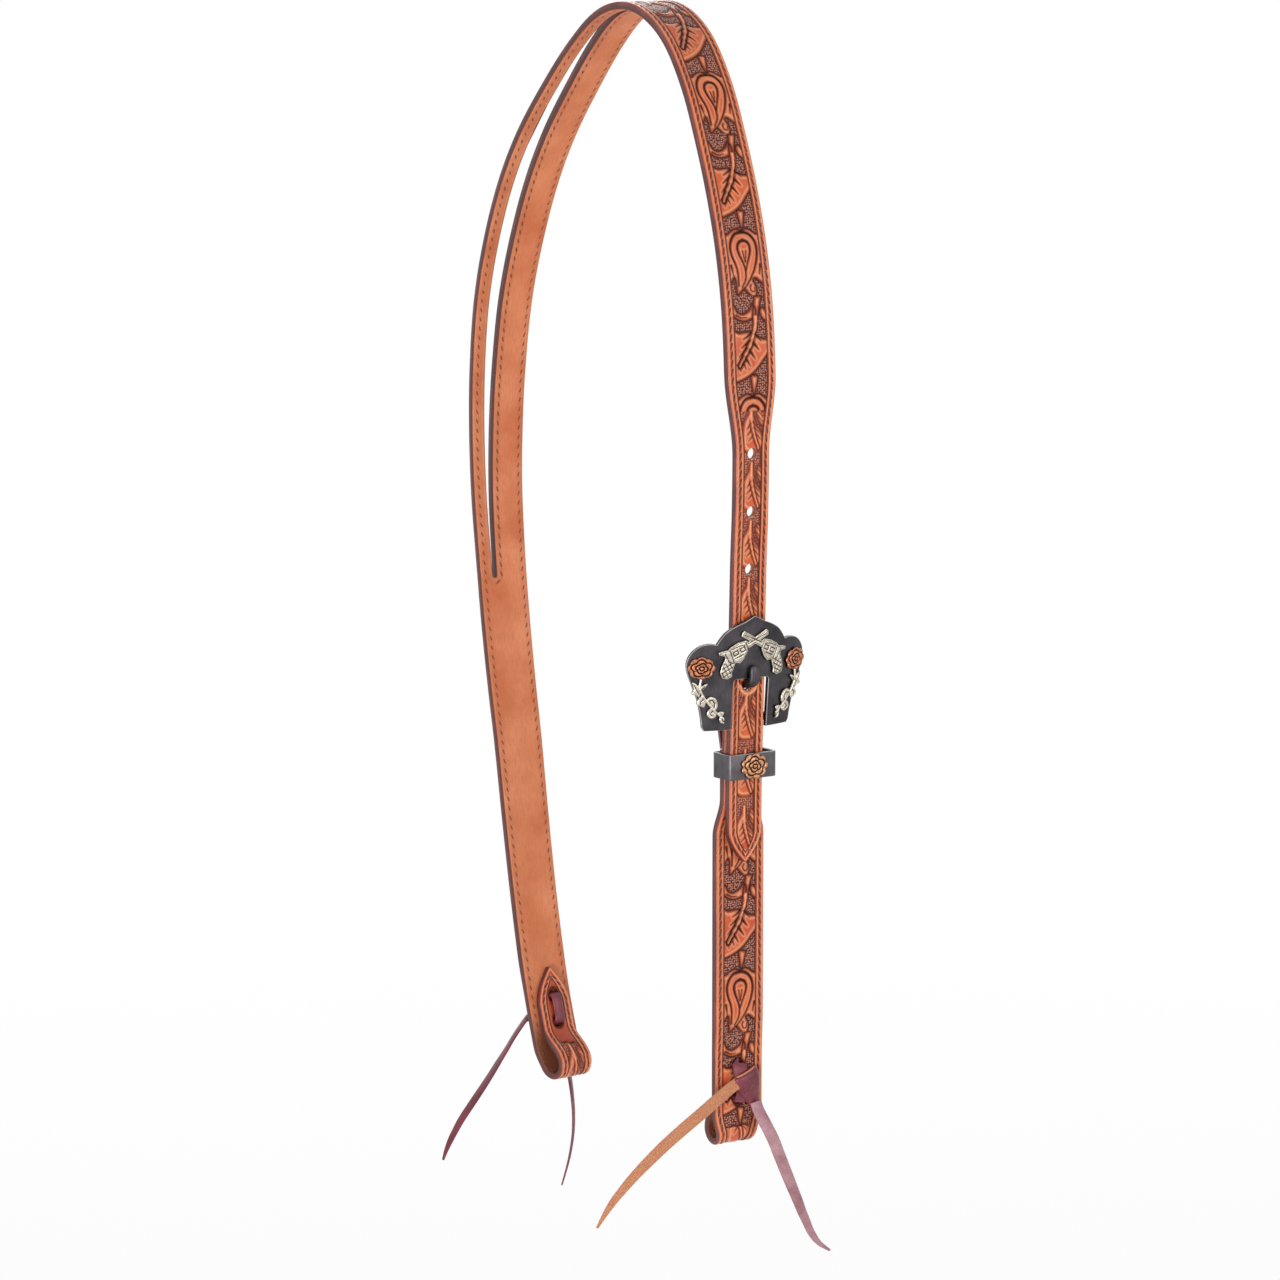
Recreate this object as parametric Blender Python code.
"""Western headstall with a slit ear, a contoured buckle and latigo bit ties.

The strap is cut as a leatherworker cuts it: each ply is a flat pattern with its
holes, slit and pointed ends, and is then laid along the line that the strap
takes over the horse's head.

+Z is up, +X points to the horse's near side and +Y towards its tail. The origin
is the inner face of the crown, where the strap rests on the poll. All lengths
are in metres.
"""
import bisect
import math

import bmesh
import bpy
from mathutils import Matrix, Vector

# Strap leather
strap_width = 0.0254
billet_width = 0.0175
ply = 0.00175
fit_gap = 0.0003
skive_share = 0.77
skive_start = 0.030
skive_run = 0.024

# The arch over the head
off_reach = 0.1192
near_reach = 0.0811
arch_drop = 0.4893
cheek_x = 0.0722
toe_degrees = 7.0
toe_start_share = 0.49
toe_end_share = 0.88

# Slit for the off ear
front_branch_width = 0.0064
slit_width = 0.0024
slit_bow = 0.006
slit_crown_margin = 0.004
slit_drop = 0.267
bow_lean_power = 0.75
bow_power = 1.4

# Billet, its holes and its buckled place
taper_start = 0.154
taper_end = 0.189
billet_below_bar = 0.064
billet_point = 0.014
hole_radius = 0.0026
worn_hole_radius = 0.0034
hole_pitch = 0.0254
hole_count = 5

# Folded ends that hold the bit
loop_gap = 0.008
near_loop_start = 0.4917
fold_rise = 0.017
lay_gap = 0.0004
flap_length = 0.0455
flap_width = 0.018
flap_point = 0.017
flap_flare = 0.018
flap_flare_end = 0.010
near_tie_heights = (0.0145, 0.0289)
off_tie_heights = (0.0195, 0.0320)
lace_radius = 0.0018
tie_hole_radius = 0.0028

# Cheek strap and its fold over the buckle's bar
bar_x = 0.0730
bar_drop = 0.306
cheek_below_bar = 0.014
neck_below_bar = 0.036
shoulder_below_bar = 0.052
bar_radius = 0.0019
bar_side_gap = 0.0004
slot_run = 0.006
billet_lean_share = 0.3

# Buckle plate
plate_height = 0.0505
plate_half_width = 0.031
plate_thickness = 0.002
plate_bend_radius = 0.080
plate_tilt_degrees = 5.0
plate_forward = 0.0075
plate_below_bar = 0.0037
window_height = 0.0225
window_side_gap = 0.0004
window_corner = 0.0015

# Tongue
tongue_width = 0.0036
tongue_thickness = 0.0020
tongue_reach = 0.01335
tongue_rise = 0.0246
eye_wall = 0.0014
tongue_slot_gap = 0.0006
crossing_share = 0.646

# Silver and copper work on the buckle
overlay_thickness = 0.0009
pistol_step = 0.0003
rose_width = 0.0115
rose_height = 0.0095
rose_out_share = 0.7903
rose_up_share = 0.5644
rose_petal_share = 0.09
rose_petals = 7
vine_half_width = 0.0034

# Keeper
keeper_height = 0.0113
keeper_inner_width = 0.0230
keeper_inner_depth = 0.0115
keeper_wall = 0.0012
keeper_below_bar = 0.0152
keeper_front_gap = 0.0006
keeper_corner = 0.0009
keeper_rose_width = 0.0129
keeper_rose_height = 0.0104

# Tie knots, seen square on to the strap
knot_width = 0.0125
knot_height = 0.0175
knot_depth = 0.0052
knot_bevel = 0.0018
near_knot_back = 0.0035
tail_tip_share = 0.35

# Fineness of the meshes
sample_step = 0.001
longest_cut = 0.016
cut_turn = math.radians(7.0)
edge_steps = 8
circle_steps = 18
corner_steps = 4
rose_steps = 56
cut_margin = 0.00002
same_plane = 0.9999
weld_distance = 0.000005
plate_cut_step = 0.004
lace_resolution = 2
bar_resolution = 3
knot_segments = 3
point_power = 1.7
smooth_angle = math.radians(38.0)

# Inner face of the strap, from the off loop up to the crown: shares of
# off_reach outwards and of arch_drop downwards.
off_line_shares = (
    (0.566, 1.000), (0.608, 0.973), (0.673, 0.924), (0.743, 0.852),
    (0.803, 0.777), (0.857, 0.702), (0.9035, 0.646), (0.948, 0.5845),
    (0.9815, 0.523), (1.000, 0.462), (0.995, 0.4005), (0.9715, 0.343),
    (0.9245, 0.282), (0.845, 0.225), (0.738, 0.1695), (0.612, 0.1225),
    (0.461, 0.0795), (0.294, 0.0375), (0.144, 0.0095),
)
# From the crown down to the buckle: shares of near_reach and of bar_drop.
near_line_shares = (
    (0.000, 0.000), (0.211, 0.0096), (0.4155, 0.0448), (0.586, 0.1063),
    (0.710, 0.1759), (0.820, 0.2518), (0.906, 0.3302), (0.962, 0.4117),
    (0.990, 0.5037), (1.000, 0.6076), (0.994, 0.7028), (0.979, 0.7843),
)
# Half of the buckle's outline, from the leg's foot up to the top point: shares
# of plate_half_width and plate_height.
plate_edge_shares = (
    (0.700, 0.000), (0.735, 0.030), (0.758, 0.119), (0.823, 0.277),
    (0.919, 0.416), (0.990, 0.530), (1.000, 0.614), (0.945, 0.690),
    (0.830, 0.750), (0.690, 0.772), (0.574, 0.764), (0.530, 0.806),
    (0.440, 0.868), (0.310, 0.915), (0.160, 0.952), (0.055, 0.985),
    (0.000, 1.000),
)
# One revolver of the crossed pair, muzzle up to the right: shares of
# plate_height sideways and upwards.
pistol_shares = (
    (0.111, 0.864), (0.130, 0.850), (0.139, 0.817), (0.119, 0.804),
    (-0.063, 0.706), (-0.083, 0.657), (-0.103, 0.614), (-0.139, 0.578),
    (-0.182, 0.586), (-0.194, 0.547), (-0.210, 0.499), (-0.206, 0.467),
    (-0.250, 0.442), (-0.301, 0.453), (-0.321, 0.503), (-0.309, 0.562),
    (-0.281, 0.622), (-0.285, 0.646), (-0.337, 0.657), (-0.345, 0.681),
    (-0.313, 0.693), (-0.257, 0.701), (-0.238, 0.725), (-0.166, 0.764),
    (-0.091, 0.780), (-0.067, 0.764), (0.095, 0.855),
)
# Stem of the vine under a rose, top to bottom: shares of plate_height outwards
# and upwards, then the width to its outer and inner side as shares of
# vine_half_width.
vine_shares = (
    (0.490, 0.445, 0.20, 0.20), (0.492, 0.400, 0.25, 0.25),
    (0.488, 0.355, 0.95, 0.30), (0.480, 0.315, 0.60, 0.90),
    (0.465, 0.275, 0.30, 0.50), (0.440, 0.235, 0.75, 0.85),
    (0.412, 0.195, 0.60, 1.00), (0.385, 0.160, 0.35, 0.75),
    (0.362, 0.125, 0.55, 0.35), (0.338, 0.090, 0.30, 0.40),
    (0.305, 0.062, 0.22, 0.22),
)
# Middle line of the tongue from its eye to its tip: shares of tongue_reach
# forwards and of tongue_rise upwards.
tongue_line_shares = (
    (0.105, 0.130), (0.120, 0.325), (0.142, 0.463), (0.210, 0.585),
    (0.367, 0.652), (0.562, 0.668), (0.790, 0.675), (0.933, 0.709),
    (0.989, 0.797), (1.000, 1.000),
)

# Where the tie laces hang. These are places, chosen by hand along the laces.
near_front_tail_route = (
    (0.0786, -0.0043, -0.4700), (0.0793, -0.0085, -0.4717), (0.0806, -0.0143, -0.4743),
    (0.0817, -0.0208, -0.4775), (0.0828, -0.0285, -0.4813), (0.0836, -0.0356, -0.4849),
    (0.0843, -0.0425, -0.4886), (0.0850, -0.0487, -0.4921), (0.0857, -0.0546, -0.4957),
    (0.0864, -0.0602, -0.4992), (0.0871, -0.0655, -0.5028), (0.0879, -0.0706, -0.5065),
    (0.0886, -0.0754, -0.5103), (0.0894, -0.0803, -0.5150), (0.0900, -0.0852, -0.5207),
)
near_rear_tail_route = (
    (0.0788, 0.0046, -0.4797), (0.0795, 0.0054, -0.4830), (0.0806, 0.0075, -0.4872),
    (0.0817, 0.0105, -0.4920), (0.0826, 0.0133, -0.4968), (0.0832, 0.0153, -0.5015),
    (0.0838, 0.0173, -0.5063), (0.0843, 0.0191, -0.5110), (0.0848, 0.0210, -0.5158),
    (0.0853, 0.0229, -0.5206), (0.0857, 0.0249, -0.5254), (0.0862, 0.0267, -0.5302),
    (0.0867, 0.0288, -0.5350), (0.0872, 0.0311, -0.5402), (0.0877, 0.0350, -0.5456),
    (0.0880, 0.0410, -0.5500),
)
off_front_tail_route = (
    (-0.0831, -0.0066, -0.4694),
    (-0.0848, -0.0082, -0.4700), (-0.0863, -0.0113, -0.4745), (-0.0873, -0.0143, -0.4791),
    (-0.0879, -0.0177, -0.4843), (-0.0884, -0.0213, -0.4893), (-0.0889, -0.0247, -0.4942),
    (-0.0893, -0.0281, -0.4988), (-0.0897, -0.0314, -0.5031), (-0.0901, -0.0345, -0.5071),
    (-0.0904, -0.0378, -0.5112), (-0.0908, -0.0411, -0.5156), (-0.0911, -0.0438, -0.5199),
    (-0.0915, -0.0463, -0.5243), (-0.0918, -0.0484, -0.5288), (-0.0920, -0.0501, -0.5333),
)
off_rear_tail_route = (
    (-0.0812, 0.0045, -0.4757), (-0.0812, 0.0053, -0.4776),
    (-0.0812, 0.0060, -0.4795), (-0.0814, 0.0079, -0.4835), (-0.0815, 0.0098, -0.4880),
    (-0.0815, 0.0115, -0.4930), (-0.0814, 0.0129, -0.4985), (-0.0813, 0.0139, -0.5042),
    (-0.0810, 0.0145, -0.5100), (-0.0805, 0.0147, -0.5158), (-0.0799, 0.0144, -0.5215),
    (-0.0792, 0.0136, -0.5272), (-0.0784, 0.0121, -0.5330), (-0.0776, 0.0102, -0.5386),
    (-0.0768, 0.0078, -0.5442), (-0.0760, 0.0052, -0.5498),
)

# Finishes: base colour, roughness, metallic
tooled_leather = ((0.58, 0.117, 0.027), 0.42, 0.0)
lining_leather = ((0.58, 0.195, 0.076), 0.60, 0.0)
latigo = ((0.147, 0.028, 0.036), 0.50, 0.0)
gunmetal = ((0.06, 0.06, 0.065), 0.45, 1.0)
silver = ((0.72, 0.67, 0.56), 0.35, 1.0)
copper = ((0.60, 0.28, 0.16), 0.40, 1.0)


def clear_scene():
    for thing in list(bpy.data.objects):
        bpy.data.objects.remove(thing, do_unlink=True)


def new_collection(name):
    group = bpy.data.collections.new(name)
    bpy.context.scene.collection.children.link(group)
    return group


def principled(name, colour, roughness, metallic=0.0):
    finish = bpy.data.materials.new(name)
    finish.use_nodes = True
    shader = finish.node_tree.nodes["Principled BSDF"]
    shader.inputs["Base Color"].default_value = (*colour, 1.0)
    shader.inputs["Roughness"].default_value = roughness
    shader.inputs["Metallic"].default_value = metallic
    return finish


def blend(low, high, share):
    return low + (high - low) * share


def ease(share):
    """A smooth step from 0 to 1 as the share goes from 0 to 1."""
    share = min(1.0, max(0.0, share))
    return share * share * (3.0 - 2.0 * share)


def smooth_points(points, step):
    """Points close together on a smooth curve through the given ones."""
    points = [Vector(p) for p in points]
    padded = [2 * points[0] - points[1]] + points + [2 * points[-1] - points[-2]]
    line = []
    for before, here, there, after in zip(padded, padded[1:], padded[2:], padded[3:]):
        count = max(2, math.ceil((there - here).length / step))
        for index in range(count):
            u = index / count
            line.append(
                0.5 * (
                    2 * here
                    + (there - before) * u
                    + (2 * before - 5 * here + 4 * there - after) * u ** 2
                    + (3 * here - before - 3 * there + after) * u ** 3
                )
            )
    line.append(points[-1])
    return line


def round_corners(points, radius):
    """A polyline with each of its corners replaced by an arc."""
    line = [points[0]]
    for before, corner, after in zip(points, points[1:], points[2:]):
        way_in = (corner - before).normalized()
        way_out = (after - corner).normalized()
        turn = way_in.angle(way_out)
        if turn < cut_turn:
            line.append(corner)
            continue
        reach = radius * math.tan(turn / 2)
        centre = corner + (way_out - way_in).normalized() * radius / math.cos(turn / 2)
        spoke = corner - way_in * reach - centre
        for index in range(corner_steps + 1):
            share = index / corner_steps
            angle = turn * share
            line.append(centre + spoke * math.cos(angle) + way_in * radius * math.sin(angle))
    line.append(points[-1])
    return line


class Line:
    """A curve in the X-Z plane with distances along it; left of it is outside."""

    def __init__(self, points, start=0.0):
        self.points = points
        self.at = [start]
        for first, second in zip(points, points[1:]):
            self.at.append(self.at[-1] + (second - first).length)
        ends = [points[0]] + points + [points[-1]]
        self.ways = [(after - before).normalized() for before, after in zip(ends, ends[2:])]

    def place(self, distance):
        """The point at a distance along the line, and the outward direction."""
        distance = min(self.at[-1], max(self.at[0], distance))
        high = min(len(self.at) - 1, max(1, bisect.bisect_left(self.at, distance)))
        low = high - 1
        share = (distance - self.at[low]) / (self.at[high] - self.at[low])
        point = self.points[low].lerp(self.points[high], share)
        way = self.ways[low].lerp(self.ways[high], share).normalized()
        return point, Vector((-way.y, way.x))

    def distance_down(self, drop, after=0.0):
        """How far along the line it first passes a drop, past a given distance."""
        for index in range(1, len(self.points)):
            low, high = self.points[index - 1].y, self.points[index].y
            passes = (low + drop) * (high + drop) <= 0 and low != high
            if passes and self.at[index] > after:
                return blend(self.at[index - 1], self.at[index], (-drop - low) / (high - low))
        return self.at[-1]

    def cuts(self):
        """Distances to cut the pattern at, close together where the line bends."""
        found = []
        last, turned = self.at[0], 0.0
        for index in range(1, len(self.points) - 1):
            turned += abs(self.ways[index].angle_signed(self.ways[index - 1]))
            if turned > cut_turn or self.at[index] - last > longest_cut:
                found.append(self.at[index])
                last, turned = self.at[index], 0.0
        return found


def fold_offset(height):
    """Room between strap and flap, at a height above the loop's start."""
    return blend(loop_gap, lay_gap, ease(height / fold_rise))


def flap_and_bend(strap_line, foot_at, up):
    """Points of a flap, tip first, then of its bend as far as the strap's foot.

    up is 1 where the strap's line runs up from the foot, and -1 where it runs
    down to it.
    """
    points = []
    flap_steps = round(flap_length / sample_step)
    for index in range(flap_steps):
        height = flap_length * (1 - index / flap_steps)
        point, outward = strap_line.place(foot_at + up * height)
        points.append(point - outward * fold_offset(height))
    foot, outward = strap_line.place(foot_at)
    centre = foot - outward * loop_gap / 2
    down = -up * Vector((outward.y, -outward.x))
    bend_steps = 2 * math.ceil(math.pi / cut_turn)
    for index in range(bend_steps):
        angle = math.pi * index / bend_steps
        spoke = down * math.sin(angle) - outward * math.cos(angle)
        points.append(centre + spoke * loop_gap / 2)
    return points


def from_flap_tip(fold, height):
    """Distance along a flap from its tip to a height above the loop's start."""
    walk = Line(fold)
    steps = (1 - height / flap_length) * round(flap_length / sample_step)
    return blend(walk.at[int(steps)], walk.at[int(steps) + 1], steps - int(steps))


# Places that the billet, the cheek strap, the buckle and the keeper share
stack = 2 * ply + fit_gap
thin_stack = 2 * ply * skive_share + fit_gap
half_strap = strap_width / 2
half_billet = billet_width / 2
half_flap = flap_width / 2
fold_inner_radius = bar_radius + fit_gap
cheek_top = bar_drop + cheek_below_bar
neck_end = bar_drop + neck_below_bar
shoulder_end = bar_drop + shoulder_below_bar
billet_tip_drop = bar_drop + billet_below_bar
billet_rest_x = cheek_x + stack + fit_gap
billet_bar_x = bar_x + fold_inner_radius + ply + fit_gap + fit_gap / 2
keeper_top_drop = bar_drop + keeper_below_bar
keeper_middle_drop = keeper_top_drop + keeper_height / 2
hole_drop = bar_drop - tongue_rise * crossing_share
bar_axis = Vector((bar_x, 0, -bar_drop))

# The crown strap's line: off flap and loop, up the off side, down to the billet
off_points = [Vector((-x * off_reach, -z * arch_drop)) for x, z in off_line_shares]
near_points = [Vector((x * near_reach, -z * bar_drop)) for x, z in near_line_shares]
billet_points = [
    Vector((billet_bar_x, -bar_drop)),
    Vector((blend(billet_rest_x, billet_bar_x, billet_lean_share), -keeper_middle_drop)),
    Vector((billet_rest_x, -neck_end)),
    Vector((billet_rest_x, -billet_tip_drop)),
]
crown_upper = Line(smooth_points(off_points + near_points + billet_points, sample_step))
crown_fold = flap_and_bend(crown_upper, 0, 1)
crown_line = Line(crown_fold + crown_upper.points)
crown_loop_at = crown_line.at[len(crown_fold)]
crown_end = crown_line.at[-1]
crown_top_index = max(range(len(crown_upper.points)), key=lambda i: crown_upper.points[i].y)
crown_top_at = crown_loop_at + crown_upper.at[crown_top_index]
billet_hole_at = crown_line.distance_down(hole_drop, crown_top_at)
slit_start = crown_line.distance_down(slit_drop, crown_loop_at)
slit_end = crown_top_at - slit_crown_margin
slit_front = front_branch_width - half_strap
slit_middle = slit_front + slit_width / 2
off_rise = crown_upper.points[:crown_top_index]
off_heights = [point.y for point in off_rise]

# The cheek strap's line: down from the buckle, round the near loop, up the flap
cheek_points = ((cheek_x, -cheek_top), (cheek_x, -near_loop_start))
cheek_upper = Line(smooth_points(cheek_points, sample_step))
cheek_loop_at = cheek_upper.at[-1]
cheek_fold = flap_and_bend(cheek_upper, cheek_loop_at, -1)
cheek_line = Line(cheek_upper.points + cheek_fold[::-1])
cheek_end = cheek_line.at[-1]


def tangent_angle(point, side):
    """Angle on the fold's circle where a straight leg from a point touches it."""
    away = point - Vector((bar_x, -bar_drop))
    return math.atan2(away.y, away.x) + side * math.acos(fold_inner_radius / away.length)


# The outer ply goes on over the buckle's bar and ends behind it
fold_lean = (cheek_x + ply - bar_x + fold_inner_radius) / (cheek_top - bar_drop)
fold_foot = Vector((cheek_x + ply, fit_gap + fold_lean * ply - cheek_top))
fold_join = Vector((cheek_x + ply + fit_gap, -cheek_top))
arc_start = tangent_angle(fold_foot, -1) + 2 * math.pi
arc_end = tangent_angle(fold_join, 1)
arc_steps = math.ceil((arc_start - arc_end) / cut_turn)
arc_points = [
    Vector((bar_x, -bar_drop)) + fold_inner_radius * Vector((math.cos(angle), math.sin(angle)))
    for angle in [blend(arc_start, arc_end, i / arc_steps) for i in range(arc_steps + 1)]
]
fold_length = Line([fold_foot] + arc_points + [fold_join]).at[-1]
fold_line = Line([fold_foot] + arc_points + [fold_join], -fold_length)
slot_start = fold_line.at[1] - slot_run
slot_end = fold_line.at[-2] + slot_run


def skive(height):
    """Share of its full thickness that a ply has at a height above a loop."""
    return blend(skive_share, 1, ease((height - skive_start) / skive_run))


def toe_in(point):
    """Turn a point of the off side about its strap, which toes in at the bit."""
    if point.x > 0:
        return point
    start, end = toe_start_share * arch_drop, toe_end_share * arch_drop
    angle = math.radians(toe_degrees) * ease((-point.z - start) / (end - start))
    high = min(len(off_heights) - 1, max(1, bisect.bisect_left(off_heights, point.z)))
    low = high - 1
    share = (point.z - off_heights[low]) / (off_heights[high] - off_heights[low])
    axis = Vector((off_rise[low].lerp(off_rise[high], min(1, max(0, share))).x, 0, 0))
    return axis + Matrix.Rotation(angle, 3, "Z") @ (point - axis)


def slit_bend(distance, across):
    """How far the front branch bows forward out of the flat pattern."""
    share = (slit_end - distance) / (slit_end - slit_start)
    if across > slit_middle or not 0 < share < 1:
        return 0
    return slit_bow * math.sin(math.pi * share ** bow_lean_power) ** bow_power


def crown_place(distance, across, depth_share, outer):
    """Where a spot of a crown ply's pattern lies on the horse."""
    point, outward = crown_line.place(distance)
    leather = ply * skive(distance - crown_loop_at)
    depth = outer * (leather + fit_gap) + depth_share * leather
    spot = point + outward * depth
    across -= slit_bend(distance, across)
    return toe_in(Vector((spot.x, across, spot.y)))


def cheek_place(distance, across, depth_share, outer):
    """Where a spot of a cheek ply's pattern lies on the horse."""
    if distance < 0:
        point, outward = fold_line.place(distance)
        spot = point + outward * depth_share * ply
    else:
        point, outward = cheek_line.place(distance)
        leather = ply * skive(cheek_loop_at - distance)
        spot = point + outward * (outer * (leather + fit_gap) + depth_share * leather)
    return Vector((spot.x, across, spot.y))


plate_base = Vector((bar_x + plate_forward, 0, -bar_drop - plate_below_bar))
plate_turn = Matrix.Rotation(math.radians(plate_tilt_degrees), 3, "Y")


def plate_place(sideways, height, depth):
    """Where a spot of the flat buckle lies once bent and tilted."""
    angle = sideways / plate_bend_radius
    radius = plate_bend_radius + depth
    bent = Vector((radius * math.cos(angle) - plate_bend_radius, radius * math.sin(angle), height))
    return plate_base + plate_turn @ bent


def edge_run(start, end, low, high):
    """Stations where a half width eases from one value to another."""
    shares = [index / edge_steps for index in range(edge_steps + 1)]
    return [(blend(start, end, u), blend(low, high, ease(u))) for u in shares]


def edge_point(tip, root, half):
    """Stations of a strap's pointed end, from its tip to its root."""
    shares = [index / edge_steps for index in range(edge_steps + 1)]
    return [(blend(tip, root, u), half * (1 - (1 - u) ** point_power)) for u in shares]


def both_sides(stations):
    """The closed outline of a strap from its half widths."""
    right = [(at, half) for at, half in stations]
    left = [(at, -half) for at, half in reversed(stations) if half > 0]
    return right + left


def circle(middle_x, middle_y, radius):
    angles = [2 * math.pi * index / circle_steps for index in range(circle_steps)]
    return [(middle_x + radius * math.cos(a), middle_y + radius * math.sin(a)) for a in angles]


def slot(start, end, middle, half):
    """Outline of a long hole with round ends."""
    line = []
    for centre, first in ((end - half, -math.pi / 2), (start + half, math.pi / 2)):
        for index in range(edge_steps + 1):
            angle = first + math.pi * index / edge_steps
            line.append((centre + half * math.cos(angle), middle + half * math.sin(angle)))
    return line


def flat_piece(outlines, thickness):
    """A flat closed piece with the given outline and holes, as a bmesh."""
    curve = bpy.data.curves.new("pattern", "CURVE")
    curve.dimensions = "2D"
    curve.fill_mode = "BOTH"
    curve.extrude = thickness / 2
    for outline in outlines:
        spline = curve.splines.new("POLY")
        spline.points.add(len(outline) - 1)
        for knot, (x, y) in zip(spline.points, outline):
            knot.co = (x, y, 0, 1)
        spline.use_cyclic_u = True
    carrier = bpy.data.objects.new("pattern", curve)
    bpy.context.scene.collection.objects.link(carrier)
    graph = bpy.context.evaluated_depsgraph_get()
    mesh = bpy.data.meshes.new_from_object(carrier.evaluated_get(graph))
    bpy.data.objects.remove(carrier, do_unlink=True)
    bm = bmesh.new()
    bm.from_mesh(mesh)
    bpy.data.meshes.remove(mesh)
    bmesh.ops.remove_doubles(bm, verts=bm.verts, dist=weld_distance)
    return bm


def cut_across(bm, stations, way):
    """Cut a flat piece into strips, so that it can bend, each strip one face."""
    for station in stations:
        bmesh.ops.bisect_plane(
            bm,
            geom=list(bm.verts) + list(bm.edges) + list(bm.faces),
            dist=cut_margin,
            plane_co=way * station,
            plane_no=way,
        )
    bm.normal_update()
    scraps = []
    for edge in bm.edges:
        first, second = (face.normal for face in edge.link_faces)
        along = abs((edge.verts[0].co - edge.verts[1].co).dot(way))
        if first.dot(second) > same_plane and along > cut_margin:
            scraps.append(edge)
    bmesh.ops.dissolve_edges(bm, edges=scraps, use_verts=True)


def finish_body(name, bm, finish, origin=None):
    """Make an object of a closed mesh, with its origin where it turns or slides."""
    origin = origin or Vector()
    bmesh.ops.recalc_face_normals(bm, faces=bm.faces)
    if bm.calc_volume(signed=True) < 0:
        bmesh.ops.reverse_faces(bm, faces=bm.faces)
    bmesh.ops.translate(bm, verts=bm.verts, vec=-origin)
    mesh = bpy.data.meshes.new(name)
    bm.to_mesh(mesh)
    bm.free()
    for face in mesh.polygons:
        face.use_smooth = True
    mesh.set_sharp_from_angle(angle=smooth_angle)
    mesh.materials.append(principled(name, *finish))
    body = bpy.data.objects.new(name, mesh)
    body.location = origin
    headstall.objects.link(body)
    return body


def strap_ply(name, outlines, stations, place, outer, finish):
    """Cut one ply of leather flat and lay it along its line."""
    bm = flat_piece(outlines, ply)
    cut_across(bm, stations, Vector((1, 0, 0)))
    for vert in bm.verts:
        depth_share = 1 if vert.co.z > 0 else 0
        vert.co = place(vert.co.x, vert.co.y, depth_share, outer)
    return finish_body(name, bm, finish)


def plate_piece(name, outlines, thickness, lift, finish):
    """Cut a flat piece of the buckle, then bend and tilt it with the plate."""
    bm = flat_piece(outlines, thickness)
    wide = max(vert.co.x for vert in bm.verts)
    narrow = min(vert.co.x for vert in bm.verts)
    count = math.floor((wide - narrow) / plate_cut_step)
    steps = [narrow + plate_cut_step * (index + 1) for index in range(count)]
    cut_across(bm, steps, Vector((1, 0, 0)))
    for vert in bm.verts:
        vert.co = plate_place(vert.co.x, vert.co.y, lift + vert.co.z + thickness / 2)
    return finish_body(name, bm, finish, bar_axis)


def tube(name, points, radius, resolution, finish, radii=None, origin=None):
    """A round rod or lace along a polyline, with closed ends."""
    curve = bpy.data.curves.new(name, "CURVE")
    curve.dimensions = "3D"
    curve.bevel_depth = radius
    curve.bevel_resolution = resolution
    curve.use_fill_caps = True
    spline = curve.splines.new("POLY")
    spline.points.add(len(points) - 1)
    for index, (knot, point) in enumerate(zip(spline.points, points)):
        knot.co = (*point, 1)
        knot.radius = radii[index] if radii else 1
    carrier = bpy.data.objects.new(name, curve)
    bpy.context.scene.collection.objects.link(carrier)
    graph = bpy.context.evaluated_depsgraph_get()
    mesh = bpy.data.meshes.new_from_object(carrier.evaluated_get(graph))
    bpy.data.objects.remove(carrier, do_unlink=True)
    bm = bmesh.new()
    bm.from_mesh(mesh)
    bpy.data.meshes.remove(mesh)
    bmesh.ops.remove_doubles(bm, verts=bm.verts, dist=weld_distance)
    return finish_body(name, bm, finish, origin)


def medallion(middle_x, middle_y, width, height):
    """Outline of a rose medallion with a petalled rim."""
    line = []
    for index in range(rose_steps):
        angle = 2 * math.pi * index / rose_steps
        reach = (1 + rose_petal_share * math.cos(rose_petals * angle)) / 2
        line.append((
            middle_x + reach * width * math.cos(angle),
            middle_y + reach * height * math.sin(angle),
        ))
    return line


def ribbon(points, left, right):
    """Outline of a flat ribbon along points, with a width to each side."""
    ends = [points[0]] + points + [points[-1]]
    ways = [(after - before).normalized() for before, after in zip(ends, ends[2:])]
    sides = [Vector((-way.y, way.x)) for way in ways]
    port = [point + side * reach for point, side, reach in zip(points, sides, left)]
    starboard = [point - side * reach for point, side, reach in zip(points, sides, right)]
    return port, starboard


clear_scene()
headstall = new_collection("western_headstall")

# Crown strap: one long pattern from the off flap's point to the billet's point
flare_start_at = crown_loop_at + flap_flare_end - flap_flare
taper_start_at = crown_line.distance_down(taper_start, crown_top_at)
taper_end_at = crown_line.distance_down(taper_end, crown_top_at)
crown_stations = (
    edge_point(0, flap_point, half_flap)
    + edge_run(flare_start_at, crown_loop_at + flap_flare_end, half_flap, half_strap)
    + edge_run(taper_start_at, taper_end_at, half_strap, half_billet)
    + edge_point(crown_end, crown_end - billet_point, half_billet)[::-1]
)
crown_outlines = [both_sides(crown_stations)]
crown_outlines.append(slot(slit_start, slit_end, slit_middle, slit_width / 2))
crown_holes = [billet_hole_at - step * hole_pitch for step in range(hole_count)]
for step, hole_at in enumerate(crown_holes):
    crown_outlines.append(circle(hole_at, 0, hole_radius if step else worn_hole_radius))
tie_hole_ats = [crown_loop_at + height for height in off_tie_heights]
tie_hole_ats += [from_flap_tip(crown_fold, height) for height in off_tie_heights]
crown_outlines += [circle(hole_at, 0, tie_hole_radius) for hole_at in tie_hole_ats]
crown_holes += tie_hole_ats
crown_cuts = crown_line.cuts() + crown_holes + [slit_start + slit_width, slit_end - slit_width]
strap_ply("crown_strap_lining", crown_outlines, crown_cuts, crown_place, 0, lining_leather)
strap_ply("crown_strap_face", crown_outlines, crown_cuts, crown_place, 1, tooled_leather)

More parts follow.
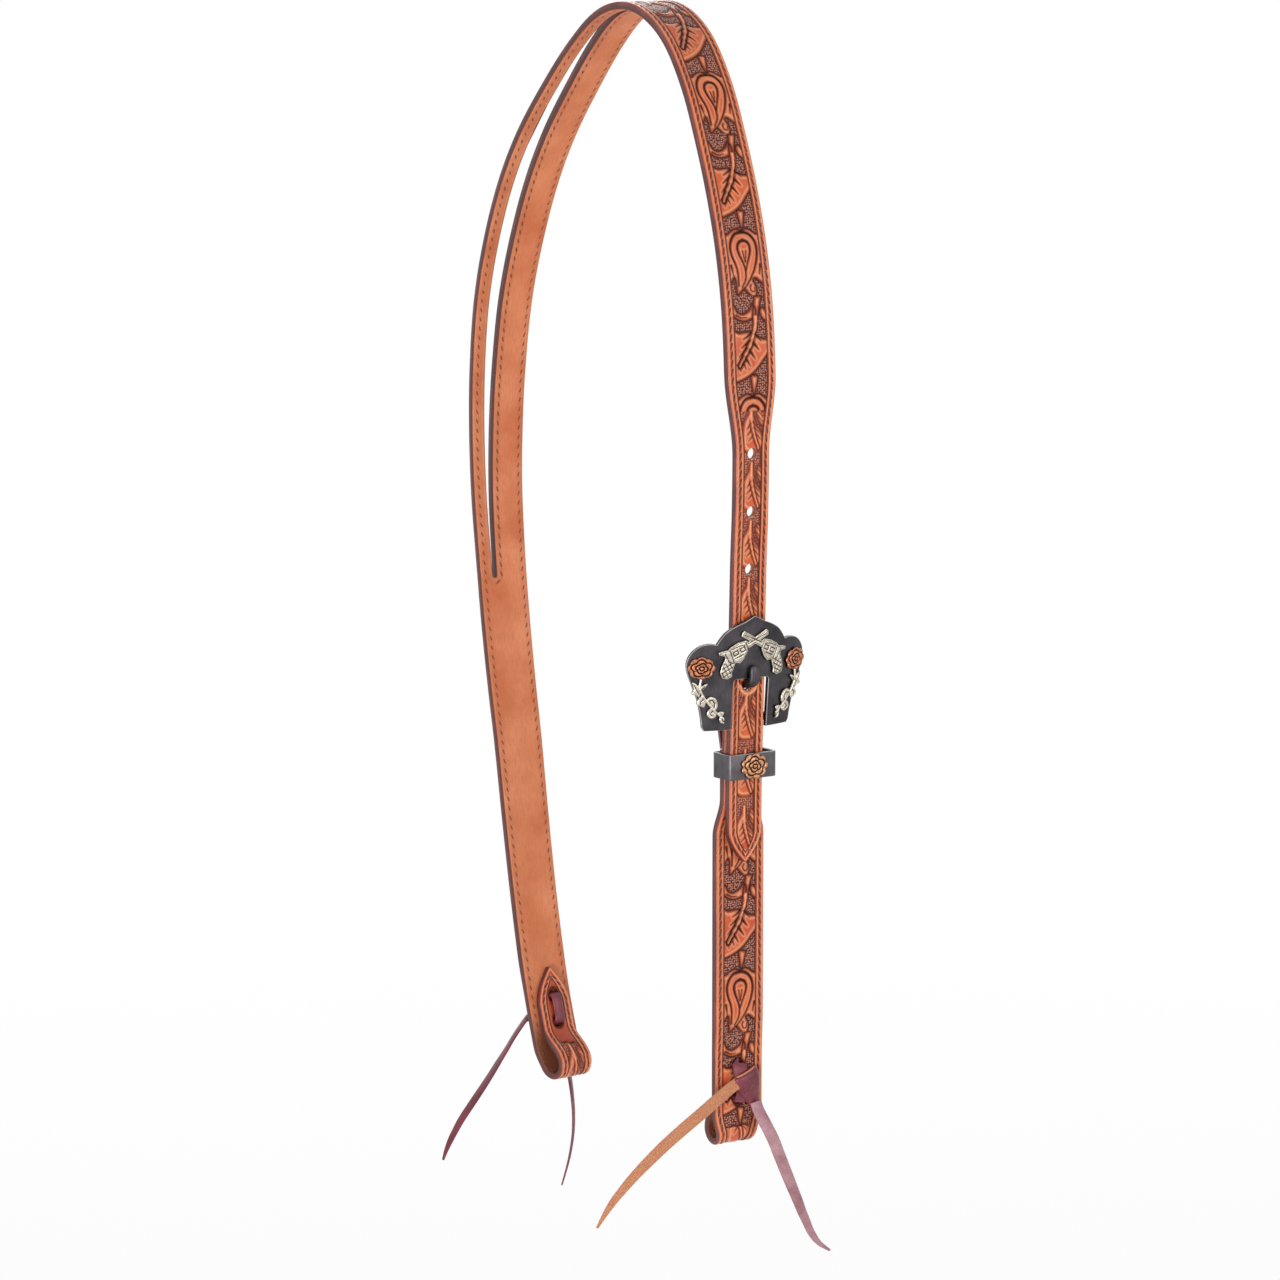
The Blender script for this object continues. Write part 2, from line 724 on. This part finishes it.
# Cheek strap: its outer ply is longer, to go round the buckle's bar
lower_stations = (
    edge_run(neck_end - cheek_top, shoulder_end - cheek_top, half_billet, half_strap)
    + edge_run(
        cheek_loop_at - flap_flare_end,
        cheek_loop_at - flap_flare_end + flap_flare,
        half_strap,
        half_flap,
    )
    + edge_point(cheek_end, cheek_end - flap_point, half_flap)[::-1]
)
cheek_hole_ats = [cheek_loop_at - height for height in near_tie_heights]
cheek_hole_ats += [cheek_end - from_flap_tip(cheek_fold, height) for height in near_tie_heights]
cheek_holes = [circle(hole_at, 0, tie_hole_radius) for hole_at in cheek_hole_ats]
lining_outline = both_sides([(0, half_billet)] + lower_stations)
face_outline = both_sides([(-fold_length, half_billet)] + lower_stations)
tongue_slot_half = tongue_width / 2 + tongue_slot_gap
tongue_slot = slot(slot_start, slot_end, 0, tongue_slot_half)
cheek_cuts = cheek_line.cuts() + cheek_hole_ats
face_cuts = fold_line.cuts() + [0] + cheek_cuts
strap_ply(
    "cheek_strap_lining", [lining_outline] + cheek_holes, cheek_cuts, cheek_place, 0,
    lining_leather,
)
strap_ply(
    "cheek_strap_face", [face_outline, tongue_slot] + cheek_holes, face_cuts, cheek_place, 1,
    tooled_leather,
)

# Buckle plate: a horseshoe cut flat, its window open at the bottom
window_half = half_billet + window_side_gap
half_plate = [(x * plate_half_width, z * plate_height) for x, z in plate_edge_shares]
window_arc = []
for index in range(corner_steps + 1):
    angle = math.pi / 2 * index / corner_steps
    window_arc.append((
        window_half - window_corner + window_corner * math.cos(angle),
        window_height - window_corner + window_corner * math.sin(angle),
    ))
right_side = [(window_half, 0)] + half_plate
left_side = [(-x, z) for x, z in reversed(right_side) if x > 0]
window_top = [(-x, z) for x, z in window_arc] + window_arc[::-1]
plate_piece(
    "buckle_plate", [right_side + left_side + window_top], plate_thickness, 0, gunmetal
)

# Bar: a staple bent from rod, its legs ending just behind the plate
bar_half = half_billet + bar_side_gap + bar_radius
leg_end = plate_place(bar_half + bar_radius, plate_below_bar - bar_radius, 0).x - fit_gap
bar_corners = [
    Vector((leg_end, -bar_half, -bar_drop)),
    Vector((bar_x, -bar_half, -bar_drop)),
    Vector((bar_x, bar_half, -bar_drop)),
    Vector((leg_end, bar_half, -bar_drop)),
]
tube(
    "buckle_bar", round_corners(bar_corners, fold_inner_radius), bar_radius, bar_resolution,
    gunmetal, origin=bar_axis,
)

# Tongue: an eye round the bar, and a blade bent through the billet's hole
blade = smooth_points(
    [Vector((x * tongue_reach, z * tongue_rise)) for x, z in tongue_line_shares], longest_cut
)
half_blade = tongue_thickness / 2
eye_outer = fold_inner_radius + eye_wall
blade_left, blade_right = ribbon(blade, [half_blade] * len(blade), [half_blade] * len(blade))
blade_left = [point for point in blade_left if point.length > eye_outer]
blade_right = [point for point in blade_right if point.length > eye_outer]
tip_way = (blade[-1] - blade[-2]).normalized()
tip_side = Vector((-tip_way.y, tip_way.x))
tip_arc = []
for index in range(1, 2 * corner_steps):
    angle = math.pi * index / (2 * corner_steps)
    tip_arc.append(
        blade[-1] + half_blade * (tip_side * math.cos(angle) + tip_way * math.sin(angle))
    )
root_angle = math.atan2(blade[0].y, blade[0].x)
root_half = math.asin(half_blade / eye_outer)
eye_sweep = 2 * (math.pi - root_half)
eye_arc = []
for index in range(2 * circle_steps + 1):
    angle = root_angle + root_half + eye_sweep * index / (2 * circle_steps)
    eye_arc.append(eye_outer * Vector((math.cos(angle), math.sin(angle))))
tongue_outline = eye_arc + blade_right + tip_arc[::-1] + blade_left[::-1]
tongue_mesh = flat_piece([tongue_outline, circle(0, 0, fold_inner_radius)], tongue_width)
for vert in tongue_mesh.verts:
    vert.co = bar_axis + Vector((vert.co.x, vert.co.z, vert.co.y))
finish_body("buckle_tongue", tongue_mesh, gunmetal, bar_axis)

# Crossed revolvers, cast as one piece: two flat shapes joined, then bent
overlay_lift = plate_thickness + fit_gap
pistol = [(x * plate_height, z * plate_height) for x, z in pistol_shares]
crossed = []
for side, raise_by in ((1, 0), (-1, pistol_step)):
    outline = [(side * x, z) for x, z in pistol]
    bm = flat_piece([outline], overlay_thickness + raise_by)
    bmesh.ops.translate(bm, verts=bm.verts, vec=(0, 0, (overlay_thickness + raise_by) / 2))
    bmesh.ops.recalc_face_normals(bm, faces=bm.faces)
    mesh = bpy.data.meshes.new("pistol")
    bm.to_mesh(mesh)
    bm.free()
    shape = bpy.data.objects.new("pistol", mesh)
    bpy.context.scene.collection.objects.link(shape)
    crossed.append(shape)
join = crossed[0].modifiers.new("join", "BOOLEAN")
join.operation = "UNION"
join.solver = "EXACT"
join.object = crossed[1]
graph = bpy.context.evaluated_depsgraph_get()
joined = bpy.data.meshes.new_from_object(crossed[0].evaluated_get(graph))
for shape in crossed:
    bpy.data.objects.remove(shape, do_unlink=True)
pistol_mesh = bmesh.new()
pistol_mesh.from_mesh(joined)
bpy.data.meshes.remove(joined)
bmesh.ops.remove_doubles(pistol_mesh, verts=pistol_mesh.verts, dist=weld_distance)
reach = max(vert.co.x for vert in pistol_mesh.verts)
count = math.ceil(2 * reach / plate_cut_step)
pistol_steps = [blend(-reach, reach, (index + 1) / (count + 1)) for index in range(count)]
cut_across(pistol_mesh, pistol_steps, Vector((1, 0, 0)))
for vert in pistol_mesh.verts:
    vert.co = plate_place(vert.co.x, vert.co.y, overlay_lift + vert.co.z)
finish_body("pistol_overlay", pistol_mesh, silver, bar_axis)

# Roses and vines, one of each on either side
stem = [Vector((x * plate_height, z * plate_height)) for x, z, _, _ in vine_shares]
outer_widths = [vine_half_width * outer for _, _, outer, _ in vine_shares]
inner_widths = [vine_half_width * inner for _, _, _, inner in vine_shares]
stem_outer, stem_inner = ribbon(stem, outer_widths, inner_widths)
vine_outline = [(point.x, point.y) for point in stem_outer + stem_inner[::-1]]
rose_out = rose_out_share * plate_half_width
rose_up = rose_up_share * plate_height
for side, suffix in ((-1, "left"), (1, "right")):
    rim = medallion(side * rose_out, rose_up, rose_width, rose_height)
    plate_piece("rose_" + suffix, [rim], overlay_thickness, overlay_lift, copper)
    leaf = [(side * x, z) for x, z in vine_outline]
    plate_piece("vine_" + suffix, [leaf], overlay_thickness, overlay_lift, silver)

# Keeper: a flat metal band bent into a box round the billet and cheek strap
billet_face_x = (
    crown_line.place(crown_line.distance_down(keeper_top_drop, crown_top_at))[0].x + stack
)
keeper_front_x = billet_face_x + keeper_front_gap
keeper_middle = Vector((
    keeper_front_x - keeper_inner_depth / 2,
    keeper_inner_width / 2 - half_billet - fit_gap,
    -keeper_middle_drop,
))


def rounded_box(width, depth, corner):
    """Outline of a rectangle with round corners, about its middle."""
    line = []
    for quarter in range(4):
        centre_x = (width / 2 - corner) * (1 if quarter in (0, 3) else -1)
        centre_y = (depth / 2 - corner) * (1 if quarter in (0, 1) else -1)
        for index in range(corner_steps + 1):
            angle = math.pi / 2 * (quarter + index / corner_steps)
            line.append((
                centre_x + corner * math.cos(angle),
                centre_y + corner * math.sin(angle),
            ))
    return line


band_outer = rounded_box(
    keeper_inner_depth + 2 * keeper_wall,
    keeper_inner_width + 2 * keeper_wall,
    keeper_corner + keeper_wall,
)
band_inner = rounded_box(keeper_inner_depth, keeper_inner_width, keeper_corner)
keeper_mesh = flat_piece([band_outer, band_inner], keeper_height)
bmesh.ops.translate(keeper_mesh, verts=keeper_mesh.verts, vec=keeper_middle)
finish_body("keeper_band", keeper_mesh, gunmetal, keeper_middle)
keeper_rose_mesh = flat_piece(
    [medallion(0, 0, keeper_rose_width, keeper_rose_height)], overlay_thickness
)
rose_x = keeper_front_x + keeper_wall + fit_gap + overlay_thickness / 2
for vert in keeper_rose_mesh.verts:
    vert.co = Vector((
        rose_x + vert.co.z, keeper_middle.y + vert.co.x, keeper_middle.z + vert.co.y
    ))
finish_body("keeper_rose", keeper_rose_mesh, copper, keeper_middle)

# Ties: a lace through both holes, a knot on the outside and two tails
lace_corner = lace_radius + fit_gap


def to_space(spot):
    return Vector((spot.x, 0, spot.y))


def tie_route(strap_line, lower_ats, upper_ats):
    """The lace's line: in through the upper hole, down the flap, and out again."""
    line = []
    for strap_at, flap_at in (upper_ats, lower_ats):
        point, outward = strap_line.place(strap_at)
        flap_spot, flap_out = strap_line.place(flap_at)
        way = (flap_out - outward).normalized()
        line.append((
            to_space(point + outward * thin_stack),
            to_space(flap_spot + way * (thin_stack + fit_gap + lace_radius)),
        ))
    (upper_face, upper_bar), (lower_face, lower_bar) = line
    return round_corners([upper_face, upper_bar, lower_bar, lower_face], lace_corner)


def tie_knot(name, strap_line, strap_at, shift, finish_spot):
    """A rounded block where the lace is wrapped, square on to the strap."""
    point, outward = strap_line.place(strap_at)
    spot = to_space(point + outward * (thin_stack + fit_gap + knot_depth / 2))
    depth_way = to_space(outward)
    rise = to_space(Vector((outward.y, -outward.x)))
    turn = Matrix((depth_way, Vector((0, 1, 0)), rise)).transposed()
    bm = bmesh.new()
    bmesh.ops.create_cube(bm, size=1)
    for vert in bm.verts:
        vert.co = Vector((
            vert.co.x * knot_depth, vert.co.y * knot_width, vert.co.z * knot_height
        ))
    bmesh.ops.bevel(
        bm, geom=list(bm.edges), offset=knot_bevel, segments=knot_segments, profile=0.5,
        affect="EDGES",
    )
    for vert in bm.verts:
        vert.co = finish_spot(turn @ vert.co + spot + Vector((0, shift, 0)))
    return finish_body(name, bm, latigo)


def tail(name, route):
    """A hanging lace end that thins to its tip."""
    last = len(route) - 1
    radii = [blend(1, tail_tip_share, ease(index / last)) for index in range(last + 1)]
    return tube(name, route, lace_radius, lace_resolution, latigo, radii)


near_spots = [
    (cheek_loop_at - height, cheek_end - from_flap_tip(cheek_fold, height))
    for height in near_tie_heights
]
off_spots = [
    (crown_loop_at + height, from_flap_tip(crown_fold, height)) for height in off_tie_heights
]
near_route = tie_route(cheek_line, *near_spots)
off_route = [toe_in(spot) for spot in tie_route(crown_line, *off_spots)]
tube("near_tie_loop", near_route, lace_radius, lace_resolution, latigo)
tube("off_tie_loop", off_route, lace_radius, lace_resolution, latigo)
near_knot_at = cheek_loop_at - sum(near_tie_heights) / 2
off_knot_at = crown_loop_at + sum(off_tie_heights) / 2
tie_knot("near_tie_knot", cheek_line, near_knot_at, near_knot_back, lambda spot: spot)
tie_knot("off_tie_knot", crown_line, off_knot_at, 0, toe_in)
tail("near_tie_front_tail", near_front_tail_route)
tail("near_tie_rear_tail", near_rear_tail_route)
tail("off_tie_front_tail", off_front_tail_route)
tail("off_tie_rear_tail", off_rear_tail_route)
